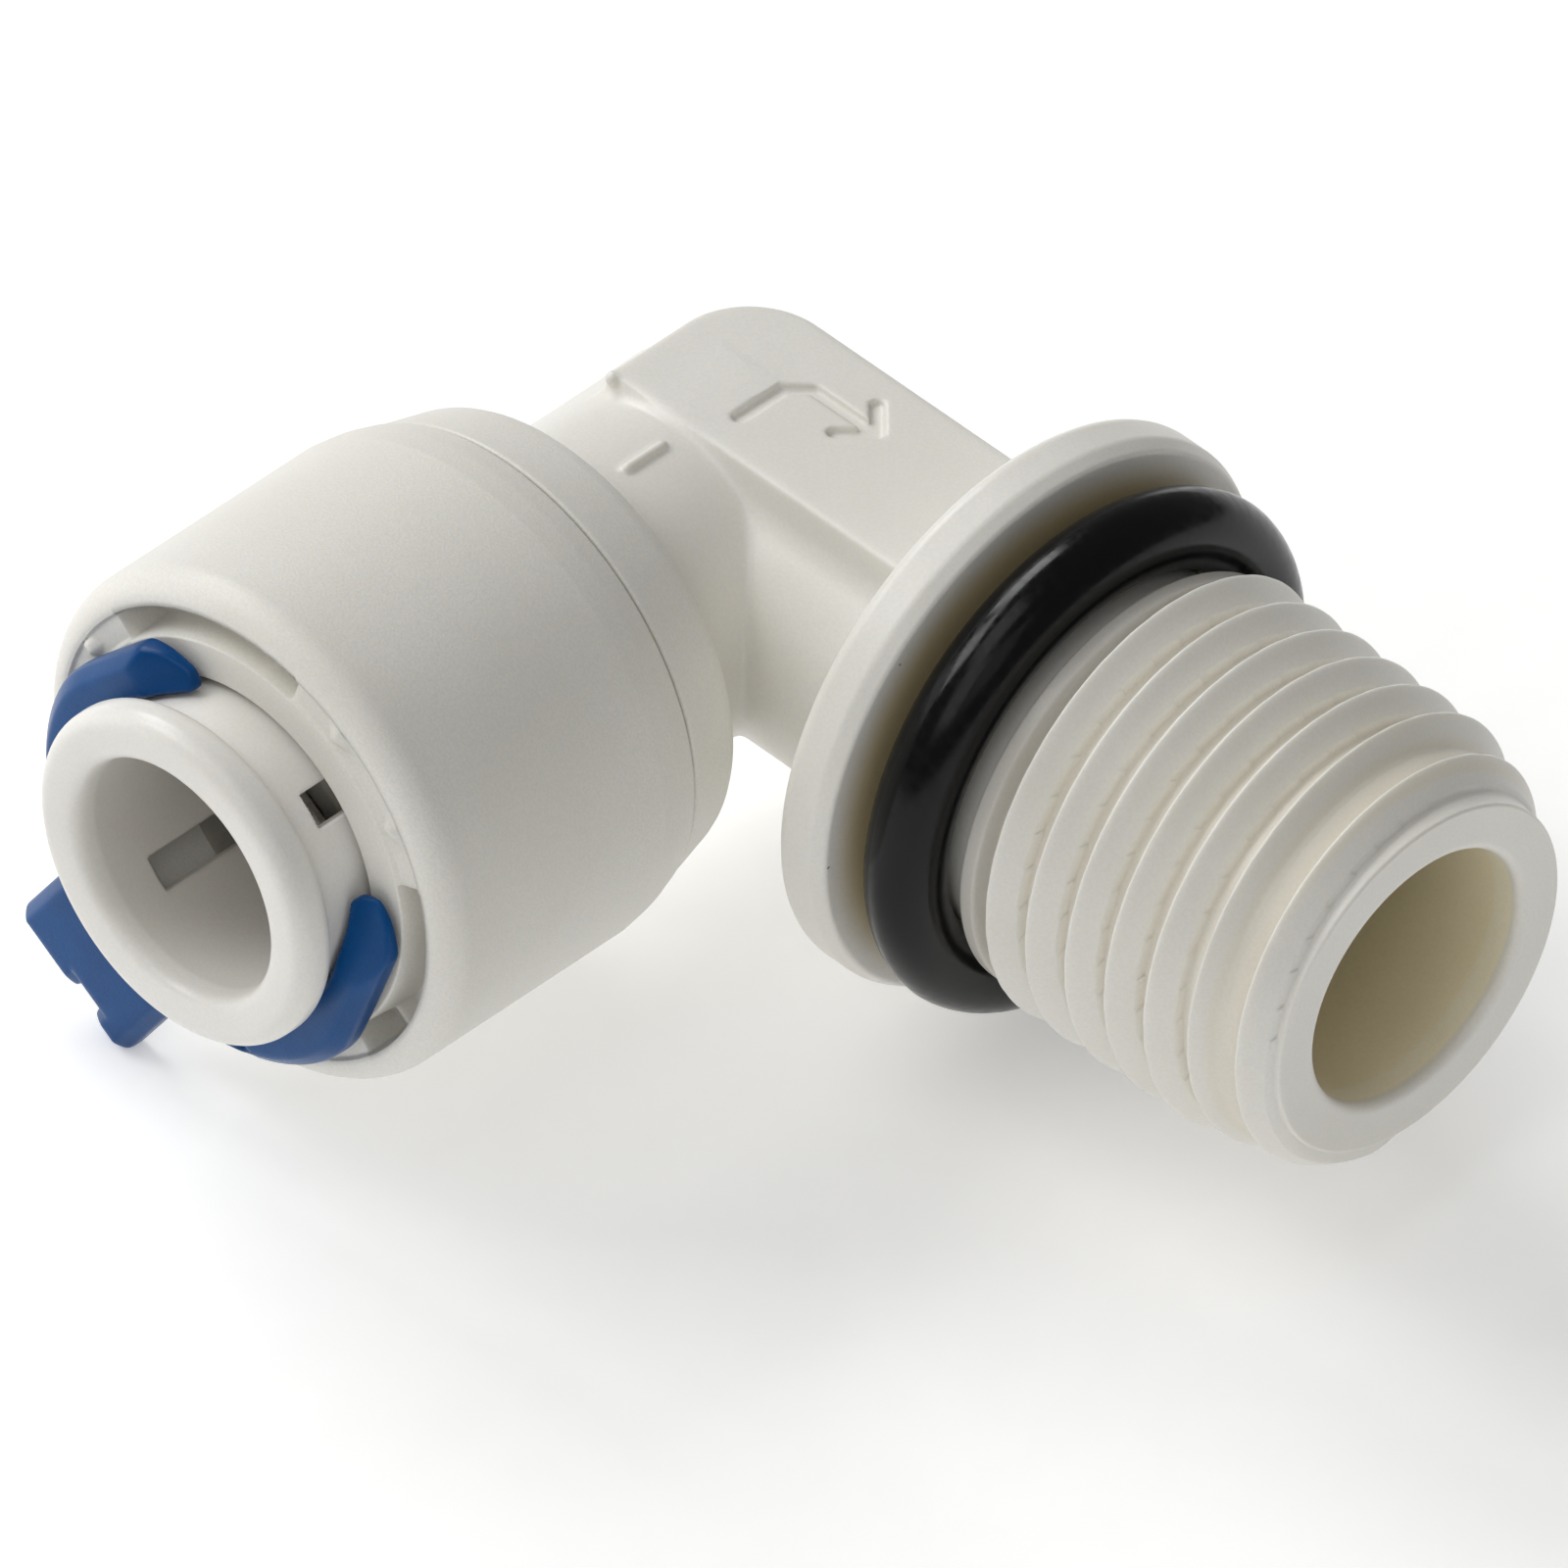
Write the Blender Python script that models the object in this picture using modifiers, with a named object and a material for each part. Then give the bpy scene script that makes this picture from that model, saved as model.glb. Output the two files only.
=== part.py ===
"""Push to connect elbow fitting: 6.35 mm tube socket to a G1/4 male stem.

Frame: the thread axis runs along +X and the tube socket opens towards -Y.
Both axes cross at the elbow centre, and the fitting lies on the plane z = 0.
"""
import math

import bmesh
import bpy

MM = 0.001

GAP = 0.1 * MM          # clearance between neighbouring pieces
OVERLAP = 0.2 * MM      # how far joined bodies run into each other
ROUND_STEPS = 64

# Elbow block
ARM_RADIUS = 4.5 * MM
NECK_RADIUS = 4.6 * MM
KNUCKLE_RADIUS = 4.8 * MM
WATERWAY_RADIUS = 2.3 * MM
SOCKET_WATERWAY_RADIUS = 2.1 * MM
PAD_HEIGHT = 4.75 * MM
PAD_ROOT = 1.15 * MM     # how near the arm's axis a pad's block begins
PAD_TOP_HALF_WIDTH = 2.52 * MM
PAD_BOTTOM_HALF_WIDTH = 2.0 * MM
PAD_LEFT = -2.27 * MM
PAD_CORNER_RADIUS = 2.3 * MM

# Male stem, distances along +X from the elbow centre
FLANGE_BACK = 8.9 * MM
FLANGE_FRONT = 10.5 * MM
FLANGE_RADIUS = 7.85 * MM
FLANGE_ROUND = 0.5 * MM
GROOVE_RADIUS = 5.3 * MM
COLLAR_START = 13.0 * MM
COLLAR_RADIUS = 6.0 * MM
COLLAR_END = 13.9 * MM
STEM_END = 23.5 * MM
LIP_START = 22.95 * MM
LIP_RADIUS = 5.1 * MM
STEM_BORE_RADIUS = 3.6 * MM
STEM_BORE_FLOOR = 7.0 * MM

# G1/4 thread: 13.157 mm over the crests, 19 turns to the inch
THREAD_RADIUS = 6.5785 * MM
THREAD_PITCH = 1.337 * MM
THREAD_DEPTH = 0.856 * MM
THREAD_TURNS = 6.2
THREAD_SWEEPS = 6        # the sweep is made of whole runs, each a little over one turn
THREAD_STEPS = 48
THREAD_FIRST_CREST = 14.5 * MM   # on top, where the ridge begins
THREAD_CREST_WIDTH = 0.2 * MM
THREAD_FLANK = math.radians(27.5)

# Tube socket, distances along -Y from the elbow centre
SHOULDER_BACK = 6.2 * MM
SHOULDER_RADIUS = 6.2 * MM
SHOULDER_FRONT = 8.3 * MM
SHOULDER_FRONT_RADIUS = 6.66 * MM
SLEEVE_RADIUS = 5.95 * MM
SLEEVE_END = 11.4 * MM
TUBE_BORE_RADIUS = 3.3 * MM       # for a tube 6.35 mm over its outside
TUBE_STOP = 4.6 * MM
GLAND_START = 7.2 * MM
GLAND_RADIUS = 4.95 * MM

# Retaining cap
CAP_BACK = SHOULDER_FRONT + GAP
CAP_BACK_RADIUS = 6.7 * MM
CAP_TAPER_END = 9.74 * MM
CAP_RADIUS = 7.1 * MM
CAP_FRONT = 17.3 * MM
CAP_ROUND = 0.7 * MM
CAP_BORE_RADIUS = SLEEVE_RADIUS + GAP
CAP_CHAMBER_START = 11.6 * MM
CAP_CHAMBER_RADIUS = 5.45 * MM
CAP_CONE_START = 13.9 * MM
CAP_CONE_END = 15.5 * MM
CAP_HOLE_RADIUS = 4.4 * MM
SLOT_INNER_RADIUS = 5.65 * MM
SLOT_OUTER_RADIUS = 6.35 * MM
SLOT_DEPTH = 2.4 * MM
SLOT_SPAN = math.radians(60)
SLOT_ANGLES = [math.radians(angle) for angle in (107, -13, -133)]

# Collet
COLLET_FRONT = 19.95 * MM
RIM_BACK = 18.7 * MM
RIM_RADIUS = 4.6 * MM
STEM_RADIUS = 4.2 * MM
COLLET_BORE_RADIUS = 3.3 * MM
BARB_RADIUS = 5.0 * MM
BARB_START = 14.1 * MM
BARB_END = 13.6 * MM
COLLET_BACK = 13.1 * MM
FINGER_SLOT_WIDTH = 0.95 * MM
FINGER_SLOT_END = 17.95 * MM
FINGER_SLOT_ANGLE = math.radians(47)
FINGERS = 4

# Stainless grip tooth, one in each finger
TOOTH_WIDTH = 1.6 * MM
TOOTH_THICKNESS = 0.25 * MM
TOOTH_START = 13.95 * MM
TOOTH_OUTER_RADIUS = 4.55 * MM
TOOTH_TIP_RADIUS = 3.12 * MM
TOOTH_LEAN = 0.45 * MM

# Seals and spacer
TUBE_SEAL_CENTRE = 8.12 * MM
TUBE_SEAL_SECTION = 0.79 * MM
TUBE_SEAL_RADIUS = GLAND_RADIUS - 0.04 * MM - TUBE_SEAL_SECTION
SPACER_START = 9.1 * MM
SPACER_END = 10.6 * MM
SPACER_INNER_RADIUS = 3.4 * MM
STEM_SEAL_CENTRE = FLANGE_FRONT + 1.14 * MM
STEM_SEAL_SECTION = 1.04 * MM
STEM_SEAL_RADIUS = GROOVE_RADIUS + 0.03 * MM + STEM_SEAL_SECTION

# Locking clip, between the cap and the collet rim
CLIP_BACK = 17.5 * MM
CLIP_FRONT = 18.45 * MM
CLIP_INNER_RADIUS = 4.32 * MM
CLIP_OUTER_RADIUS = 5.65 * MM
CLIP_OUTER_OFFSET = 0.55 * MM
CLIP_WRAP = math.radians(137)
CLIP_ARM_END = -4.85 * MM
CLIP_MOUTH_HALF_WIDTH = 3.1 * MM
CLIP_HEEL = [(-3.7 * MM, 5.15 * MM), (-4.3 * MM, 4.9 * MM), (CLIP_ARM_END, 4.3 * MM)]
CLIP_TAB_REACH = 9.15 * MM
CLIP_TAB_HALF_WIDTH = 2.25 * MM
CLIP_TAB_CORNER = 0.45 * MM
CLIP_DIRECTION = math.radians(-122.5)

# The clip's tab is the lowest point, so its corner sets the height of the axes.
TAB_CORNER_DROP = (
    -CLIP_TAB_REACH * math.sin(CLIP_DIRECTION)
    + (CLIP_TAB_HALF_WIDTH - CLIP_TAB_CORNER) * math.cos(CLIP_DIRECTION + math.pi)
)
ELBOW_CENTRE = (
    (CAP_RADIUS - STEM_END) / 2,
    (COLLET_FRONT - FLANGE_RADIUS) / 2,
    TAB_CORNER_DROP,
)

IVORY = (0.83, 0.81, 0.75)
BLUE = (0.02, 0.11, 0.33)
BLACK = (0.012, 0.012, 0.014)
STEEL = (0.62, 0.62, 0.6)


def clear_scene():
    for obj in list(bpy.data.objects):
        bpy.data.objects.remove(obj, do_unlink=True)


def make_collection(name):
    collection = bpy.data.collections.new(name)
    bpy.context.scene.collection.children.link(collection)
    return collection


def make_material(name, color, roughness, metallic=0.0):
    material = bpy.data.materials.new(name)
    material.use_nodes = True
    shader = material.node_tree.nodes["Principled BSDF"]
    shader.inputs["Base Color"].default_value = (*color, 1.0)
    shader.inputs["Roughness"].default_value = roughness
    shader.inputs["Metallic"].default_value = metallic
    material.diffuse_color = (*color, 1.0)
    return material


def add_object(name, mesh, parent, collection, material=None):
    obj = bpy.data.objects.new(name, mesh)
    collection.objects.link(obj)
    obj.parent = parent
    if material is not None:
        mesh.materials.append(material)
    return obj


def face_socket(obj):
    """Turn an object built along its own +Z so that it runs along -Y."""
    obj.rotation_euler = (math.radians(90), 0, 0)
    return obj


def face_stem(obj):
    """Turn an object built along its own +Z so that it runs along +X."""
    obj.rotation_euler = (0, math.radians(90), 0)
    return obj


def turned_mesh(name, outline, closed):
    """An outline of (radius, height) points, listed down the outer side."""
    mesh = bpy.data.meshes.new(name)
    points = [(radius, 0.0, height) for radius, height in outline]
    edges = [(i, i + 1) for i in range(len(points) - 1)]
    if closed:
        edges.append((len(points) - 1, 0))
    mesh.from_pydata(points, edges, [])
    return mesh


def add_turned(name, outline, parent, collection, material=None, closed=True, steps=ROUND_STEPS):
    """A solid turned about its own Z, hollow if the outline is closed."""
    obj = add_object(name, turned_mesh(name, outline, closed), parent, collection, material)
    screw = obj.modifiers.new("turn", "SCREW")
    screw.steps = steps
    screw.render_steps = steps
    screw.use_merge_vertices = True
    screw.merge_threshold = 0.000001
    screw.use_smooth_shade = False
    return obj


def add_box(name, low, high, parent, collection):
    mesh = bpy.data.meshes.new(name)
    bm = bmesh.new()
    bmesh.ops.create_cube(bm, size=1.0)
    for vert in bm.verts:
        vert.co = [low[i] if vert.co[i] < 0 else high[i] for i in range(3)]
    bm.to_mesh(mesh)
    bm.free()
    return add_object(name, mesh, parent, collection)


def hide_helper(obj):
    obj.hide_render = True
    obj.display_type = "WIRE"
    return obj


def combine(target, helper, operation):
    modifier = target.modifiers.new(helper.name, "BOOLEAN")
    modifier.operation = operation
    modifier.solver = "EXACT"
    modifier.object = hide_helper(helper)


def arc(radius, start, end, count, centre=(0.0, 0.0)):
    """Points on an arc from one angle to another, both ends included."""
    angles = [start + (end - start) * i / (count - 1) for i in range(count)]
    return [(centre[0] + radius * math.cos(a), centre[1] + radius * math.sin(a)) for a in angles]


def rounded_edge(radius, height, size, start, end, count=5):
    """A quarter round that ends a turned shoulder, as (radius, height) points."""
    return arc(size, start, end, count, (radius, height))


def add_outline_solid(name, outline, low, high, parent, collection, material=None):
    """A flat outline in its own XY plane, raised from low to high."""
    mesh = bpy.data.meshes.new(name)
    bm = bmesh.new()
    base = [bm.verts.new((x, y, low)) for x, y in outline]
    face = bm.faces.new(base)
    raised = bmesh.ops.extrude_face_region(bm, geom=[face])
    top = [item for item in raised["geom"] if isinstance(item, bmesh.types.BMVert)]
    bmesh.ops.translate(bm, vec=(0, 0, high - low), verts=top)
    bmesh.ops.recalc_face_normals(bm, faces=bm.faces)
    bm.to_mesh(mesh)
    bm.free()
    return add_object(name, mesh, parent, collection, material)


def add_thread_ridge(parent, collection):
    """A helical ridge, swept by a Screw from its own -X side and closed at both ends."""
    root = THREAD_RADIUS - THREAD_DEPTH - OVERLAP
    half_crest = THREAD_CREST_WIDTH / 2
    half_root = half_crest + (THREAD_DEPTH + OVERLAP) * math.tan(THREAD_FLANK)
    section = [
        (-root, half_root),
        (-THREAD_RADIUS, half_crest),
        (-THREAD_RADIUS, -half_crest),
        (-root, -half_root),
    ]
    swept = add_object("thread_sweep", turned_mesh("thread_sweep", section, True), None, collection)
    screw = swept.modifiers.new("sweep", "SCREW")
    screw.angle = math.tau * THREAD_TURNS / THREAD_SWEEPS
    screw.screw_offset = THREAD_PITCH * THREAD_TURNS / THREAD_SWEEPS
    screw.iterations = THREAD_SWEEPS
    screw.steps = THREAD_STEPS
    screw.render_steps = THREAD_STEPS
    screw.use_smooth_shade = False
    bpy.context.view_layer.update()
    graph = bpy.context.evaluated_depsgraph_get()
    mesh = bpy.data.meshes.new_from_object(swept.evaluated_get(graph))
    bpy.data.objects.remove(swept, do_unlink=True)
    bm = bmesh.new()
    bm.from_mesh(mesh)
    bmesh.ops.remove_doubles(bm, verts=bm.verts, dist=0.000001)
    bmesh.ops.holes_fill(bm, edges=bm.edges, sides=0)
    bmesh.ops.recalc_face_normals(bm, faces=bm.faces)
    bm.to_mesh(mesh)
    bm.free()
    return add_object("thread_ridge", mesh, parent, collection)


def stem_outline():
    """Up the blind bore from its floor, then down the lip, thread core, seal groove, flange and arm."""
    root = THREAD_RADIUS - THREAD_DEPTH
    chamfer = 0.15 * MM
    front = rounded_edge(
        FLANGE_RADIUS - FLANGE_ROUND, FLANGE_FRONT - FLANGE_ROUND, FLANGE_ROUND, math.radians(90), 0
    )
    back = 0.25 * MM
    return [
        (0.0, STEM_BORE_FLOOR),
        (STEM_BORE_RADIUS, STEM_BORE_FLOOR),
        (STEM_BORE_RADIUS, STEM_END - chamfer),
        (STEM_BORE_RADIUS + chamfer, STEM_END),
        (LIP_RADIUS - chamfer, STEM_END),
        (LIP_RADIUS, STEM_END - chamfer),
        (LIP_RADIUS, LIP_START),
        (root, LIP_START - (root - LIP_RADIUS)),
        (root, COLLAR_END + (COLLAR_RADIUS - root)),
        (COLLAR_RADIUS, COLLAR_END),
        (COLLAR_RADIUS, COLLAR_START),
        (GROOVE_RADIUS, COLLAR_START - 0.2 * MM),
        (GROOVE_RADIUS, FLANGE_FRONT),
        *front,
        (FLANGE_RADIUS, FLANGE_BACK + back),
        (FLANGE_RADIUS - back, FLANGE_BACK),
        (ARM_RADIUS, FLANGE_BACK),
        (ARM_RADIUS, 0.0),
        (0.0, 0.0),
    ]


def neck_outline():
    """Up the tube bore and seal gland, then down the sleeve, the shoulder and the neck."""
    round_size = 0.7 * MM
    chamfer = 0.2 * MM
    back = rounded_edge(
        SHOULDER_RADIUS - round_size, SHOULDER_BACK + round_size, round_size, 0, math.radians(-90)
    )
    return [
        (0.0, TUBE_STOP),
        (TUBE_BORE_RADIUS, TUBE_STOP),
        (TUBE_BORE_RADIUS, GLAND_START),
        (GLAND_RADIUS, GLAND_START),
        (GLAND_RADIUS, SLEEVE_END - chamfer),
        (GLAND_RADIUS + chamfer, SLEEVE_END),
        (SLEEVE_RADIUS - chamfer, SLEEVE_END),
        (SLEEVE_RADIUS, SLEEVE_END - chamfer),
        (SLEEVE_RADIUS, SHOULDER_FRONT),
        (SHOULDER_FRONT_RADIUS, SHOULDER_FRONT),
        *back,
        (NECK_RADIUS + chamfer, SHOULDER_BACK),
        (NECK_RADIUS, SHOULDER_BACK - chamfer),
        (NECK_RADIUS, 0.0),
        (0.0, 0.0),
    ]


def add_pad(name, half_width, low, high, parent, collection):
    """A flat pad along the arm, rounded at the elbow's outer corner."""
    corner = arc(
        PAD_CORNER_RADIUS,
        math.radians(180),
        math.radians(90),
        7,
        (PAD_LEFT + PAD_CORNER_RADIUS, half_width - PAD_CORNER_RADIUS),
    )
    right = FLANGE_BACK + OVERLAP
    outline = [(PAD_LEFT, -half_width), *corner, (right, half_width), (right, -half_width)]
    return add_outline_solid(name, outline, low, high, parent, collection)


def add_elbow_body(parent, parts, cutters, material):
    body = face_stem(add_turned("elbow_body", stem_outline(), parent, parts, material, closed=False))
    neck = face_socket(add_turned("neck_form", neck_outline(), parent, cutters, closed=False))
    corner = add_turned("corner_form", ball_outline(KNUCKLE_RADIUS), parent, cutters, closed=False)
    top = add_pad("top_pad_form", PAD_TOP_HALF_WIDTH, PAD_ROOT, PAD_HEIGHT, parent, cutters)
    bottom = add_pad("bottom_pad_form", PAD_BOTTOM_HALF_WIDTH, -PAD_HEIGHT, -PAD_ROOT, parent, cutters)
    ridge = add_thread_ridge(parent, cutters)
    ridge.location = (THREAD_FIRST_CREST, 0, 0)
    face_stem(ridge)
    combine(body, neck, "UNION")
    combine(body, corner, "UNION")
    combine(body, top, "UNION")
    combine(body, bottom, "UNION")
    combine(body, ridge, "UNION")
    stem_way = add_waterway("stem_waterway", WATERWAY_RADIUS, STEM_BORE_FLOOR + OVERLAP, parent, cutters)
    combine(body, face_stem(stem_way), "DIFFERENCE")
    socket_way = add_waterway(
        "socket_waterway", SOCKET_WATERWAY_RADIUS, TUBE_STOP + OVERLAP, parent, cutters
    )
    combine(body, face_socket(socket_way), "DIFFERENCE")
    return body


def ball_outline(radius):
    """A half circle from pole to pole, for a ball at the elbow's outer corner."""
    middle = arc(radius, math.pi / 2, -math.pi / 2, 17)[1:-1]
    return [(0.0, radius), *middle, (0.0, -radius)]


def add_waterway(name, radius, mouth, parent, collection):
    """A round cutter from beyond the elbow centre out to a bore's floor."""
    inner = OVERLAP - radius
    outline = [(0.0, mouth), (radius, mouth), (radius, inner), (0.0, inner)]
    return add_turned(name, outline, parent, collection, closed=False, steps=32)


def cap_outline():
    """Down the outside from the front rim, then back up through the bore."""
    front = rounded_edge(
        CAP_RADIUS - CAP_ROUND, CAP_FRONT - CAP_ROUND, CAP_ROUND, math.radians(90), 0, 6
    )
    return [
        *front,
        (CAP_RADIUS, CAP_TAPER_END),
        (CAP_BACK_RADIUS, CAP_BACK),
        (CAP_BORE_RADIUS, CAP_BACK),
        (CAP_BORE_RADIUS, CAP_CHAMBER_START),
        (CAP_CHAMBER_RADIUS, CAP_CHAMBER_START),
        (CAP_CHAMBER_RADIUS, CAP_CONE_START),
        (CAP_HOLE_RADIUS, CAP_CONE_END),
        (CAP_HOLE_RADIUS, CAP_FRONT),
    ]


def add_retaining_cap(parent, parts, cutters, material):
    cap = face_socket(add_turned("retaining_cap", cap_outline(), parent, parts, material))
    for number, middle in enumerate(SLOT_ANGLES):
        start = middle - SLOT_SPAN / 2
        end = middle + SLOT_SPAN / 2
        outline = [
            *arc(SLOT_INNER_RADIUS, start, end, 11),
            *arc(SLOT_OUTER_RADIUS, end, start, 11),
        ]
        floor = CAP_FRONT - SLOT_DEPTH
        mouth = CAP_FRONT + 1.0 * MM
        slot = add_outline_solid(f"cap_slot_{number + 1}", outline, floor, mouth, parent, cutters)
        combine(cap, face_socket(slot), "DIFFERENCE")
    return cap


def collet_outline():
    """Down the outside from the rim to the barbs, then back up through the tube bore."""
    round_size = 0.3 * MM
    front = rounded_edge(
        RIM_RADIUS - round_size, COLLET_FRONT - round_size, round_size, math.radians(90), 0, 4
    )
    lead = 0.25 * MM
    return [
        *front,
        (RIM_RADIUS, RIM_BACK),
        (STEM_RADIUS, RIM_BACK),
        (STEM_RADIUS, BARB_START + (BARB_RADIUS - STEM_RADIUS)),
        (BARB_RADIUS, BARB_START),
        (BARB_RADIUS, BARB_END),
        (BARB_RADIUS - 0.6 * MM, COLLET_BACK),
        (COLLET_BORE_RADIUS + 0.1 * MM, COLLET_BACK),
        (COLLET_BORE_RADIUS, COLLET_BACK + 0.3 * MM),
        (COLLET_BORE_RADIUS, COLLET_FRONT - lead),
        (COLLET_BORE_RADIUS + lead, COLLET_FRONT),
    ]


def add_collet(parent, parts, cutters, material):
    collet = face_socket(add_turned("collet", collet_outline(), parent, parts, material))
    half = FINGER_SLOT_WIDTH / 2
    reach = BARB_RADIUS + 1.0 * MM
    for number in range(FINGERS // 2):
        slot = add_box(
            f"finger_slot_{number + 1}",
            (-reach, -half, COLLET_BACK - 1.0 * MM),
            (reach, half, FINGER_SLOT_END),
            parent,
            cutters,
        )
        turn = FINGER_SLOT_ANGLE + number * math.pi / 2
        slot.rotation_euler = (math.radians(90), -turn, 0)
        combine(collet, slot, "DIFFERENCE")
    for number in range(FINGERS):
        pocket = add_tooth_solid(f"tooth_pocket_{number + 1}", number, GAP, parent, cutters)
        combine(collet, pocket, "DIFFERENCE")
    return collet


def tooth_turn(number):
    """The direction of a finger's middle, round the socket axis."""
    return FINGER_SLOT_ANGLE + math.radians(45) + number * math.tau / FINGERS


def add_tooth_solid(name, number, margin, parent, collection, material=None):
    """A leaning blade whose point stands into the tube bore."""
    tip = TOOTH_TIP_RADIUS - (0.2 * MM if margin else 0.0)
    outer = TOOTH_OUTER_RADIUS + margin
    half = TOOTH_THICKNESS / 2 + margin
    outline = [
        (tip, TOOTH_START - TOOTH_LEAN),
        (tip + 0.25 * MM, TOOTH_START - TOOTH_LEAN + half + 0.1 * MM),
        (outer, TOOTH_START + half),
        (outer, TOOTH_START - half),
        (tip + 0.3 * MM, TOOTH_START - TOOTH_LEAN - half),
    ]
    width = TOOTH_WIDTH / 2 + margin
    blade = add_outline_solid(name, outline, -width, width, parent, collection, material)
    for vert in blade.data.vertices:
        x, y, z = vert.co
        vert.co = (x, -z, y)
    turn = tooth_turn(number)
    blade.rotation_euler = (math.radians(90), -turn, 0)
    return blade


def add_torus(name, radius, section, parent, collection, material):
    bpy.ops.mesh.primitive_torus_add(
        major_radius=radius, minor_radius=section, major_segments=56, minor_segments=14
    )
    ring = bpy.context.active_object
    ring.name = name
    for owner in list(ring.users_collection):
        owner.objects.unlink(ring)
    collection.objects.link(ring)
    ring.parent = parent
    ring.data.materials.append(material)
    return ring


def add_seals(parent, parts, rubber):
    stem_seal = add_torus("thread_o_ring", STEM_SEAL_RADIUS, STEM_SEAL_SECTION, parent, parts, rubber)
    face_stem(stem_seal).location = (STEM_SEAL_CENTRE, 0, 0)
    tube_seal = add_torus("tube_o_ring", TUBE_SEAL_RADIUS, TUBE_SEAL_SECTION, parent, parts, rubber)
    face_socket(tube_seal).location = (0, -TUBE_SEAL_CENTRE, 0)


def add_spacer(parent, parts, material):
    outer = GLAND_RADIUS - GAP
    outline = [
        (outer, SPACER_END),
        (outer, SPACER_START),
        (SPACER_INNER_RADIUS, SPACER_START),
        (SPACER_INNER_RADIUS, SPACER_END - 0.4 * MM),
        (SPACER_INNER_RADIUS + 0.4 * MM, SPACER_END),
    ]
    face_socket(add_turned("spacer_ring", outline, parent, parts, material, steps=48))


def clip_outline():
    """A horseshoe open away from its tab, with square arm ends and the tab pointing along +X."""
    inner = arc(CLIP_INNER_RADIUS, CLIP_WRAP, -CLIP_WRAP, 37)
    join = math.asin(CLIP_TAB_HALF_WIDTH / CLIP_OUTER_RADIUS)
    centre = (CLIP_OUTER_OFFSET, 0.0)
    upper = [
        *arc(CLIP_OUTER_RADIUS, join, math.radians(96), 15, centre),
        *CLIP_HEEL,
        (CLIP_ARM_END, CLIP_MOUTH_HALF_WIDTH),
    ]
    lower = [(x, -y) for x, y in reversed(upper)]
    tab = [
        (CLIP_TAB_REACH - CLIP_TAB_CORNER, -CLIP_TAB_HALF_WIDTH),
        (CLIP_TAB_REACH, -CLIP_TAB_HALF_WIDTH + CLIP_TAB_CORNER),
        (CLIP_TAB_REACH, CLIP_TAB_HALF_WIDTH - CLIP_TAB_CORNER),
        (CLIP_TAB_REACH - CLIP_TAB_CORNER, CLIP_TAB_HALF_WIDTH),
    ]
    return [*inner, *lower, *tab, *upper]


def add_locking_clip(parent, parts, material):
    half = (CLIP_FRONT - CLIP_BACK) / 2
    clip = add_outline_solid("locking_clip", clip_outline(), -half, half, parent, parts, material)
    clip.location = (0, -(CLIP_FRONT + CLIP_BACK) / 2, 0)
    clip.rotation_euler = (math.radians(90), -CLIP_DIRECTION, 0)
    return clip


def add_grip_teeth(parent, parts, material):
    for number in range(FINGERS):
        add_tooth_solid(f"grip_tooth_{number + 1}", number, 0.0, parent, parts, material)


def main():
    clear_scene()
    parts = make_collection("push_to_connect_elbow")
    cutters = make_collection("cutters")
    fitting = bpy.data.objects.new("fitting_frame", None)
    fitting.location = ELBOW_CENTRE
    parts.objects.link(fitting)
    collet_frame = bpy.data.objects.new("collet_frame", None)
    collet_frame.parent = fitting
    parts.objects.link(collet_frame)

    ivory = make_material("ivory_acetal", IVORY, 0.38)
    collet_ivory = make_material("collet_acetal", IVORY, 0.3)
    blue = make_material("blue_acetal", BLUE, 0.35)
    rubber = make_material("black_rubber", BLACK, 0.45)
    steel = make_material("stainless_steel", STEEL, 0.25, 1.0)

    add_elbow_body(fitting, parts, cutters, ivory)
    add_retaining_cap(fitting, parts, cutters, ivory)
    add_seals(fitting, parts, rubber)
    add_spacer(fitting, parts, ivory)
    add_collet(collet_frame, parts, cutters, collet_ivory)
    add_grip_teeth(collet_frame, parts, steel)
    add_locking_clip(fitting, parts, blue)


main()
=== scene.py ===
import math

import bpy
import numpy as np
from mathutils import Matrix, Vector


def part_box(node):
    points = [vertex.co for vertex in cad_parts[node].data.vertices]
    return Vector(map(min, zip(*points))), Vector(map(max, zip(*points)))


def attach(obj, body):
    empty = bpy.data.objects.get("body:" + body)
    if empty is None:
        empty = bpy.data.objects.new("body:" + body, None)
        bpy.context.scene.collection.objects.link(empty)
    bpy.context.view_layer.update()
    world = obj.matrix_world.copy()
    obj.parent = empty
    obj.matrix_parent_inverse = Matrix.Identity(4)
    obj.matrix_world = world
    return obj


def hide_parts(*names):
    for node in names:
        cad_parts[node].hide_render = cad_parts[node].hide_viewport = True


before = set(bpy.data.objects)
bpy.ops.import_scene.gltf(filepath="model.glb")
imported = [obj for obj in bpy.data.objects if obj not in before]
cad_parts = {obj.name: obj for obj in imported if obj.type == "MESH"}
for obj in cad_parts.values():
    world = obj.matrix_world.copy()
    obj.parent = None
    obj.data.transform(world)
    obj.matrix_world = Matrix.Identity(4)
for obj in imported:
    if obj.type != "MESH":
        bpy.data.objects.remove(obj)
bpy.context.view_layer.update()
print("frame loaded")

mm = 0.001
tau = 2 * math.pi
diagonal = math.sqrt(0.5)  # for bevels at 45 degrees

# the two O-rings stand on the two arms' axes, which cross at the elbow's centre
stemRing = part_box("thread_o_ring")
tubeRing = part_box("tube_o_ring")
elbow = np.array([
    (tubeRing[0].x + tubeRing[1].x) / 2,
    (stemRing[0].y + stemRing[1].y) / 2,
    (stemRing[0].z + stemRing[1].z) / 2,
])


# shaping helpers: all lengths in millimetres from the elbow's centre

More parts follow.
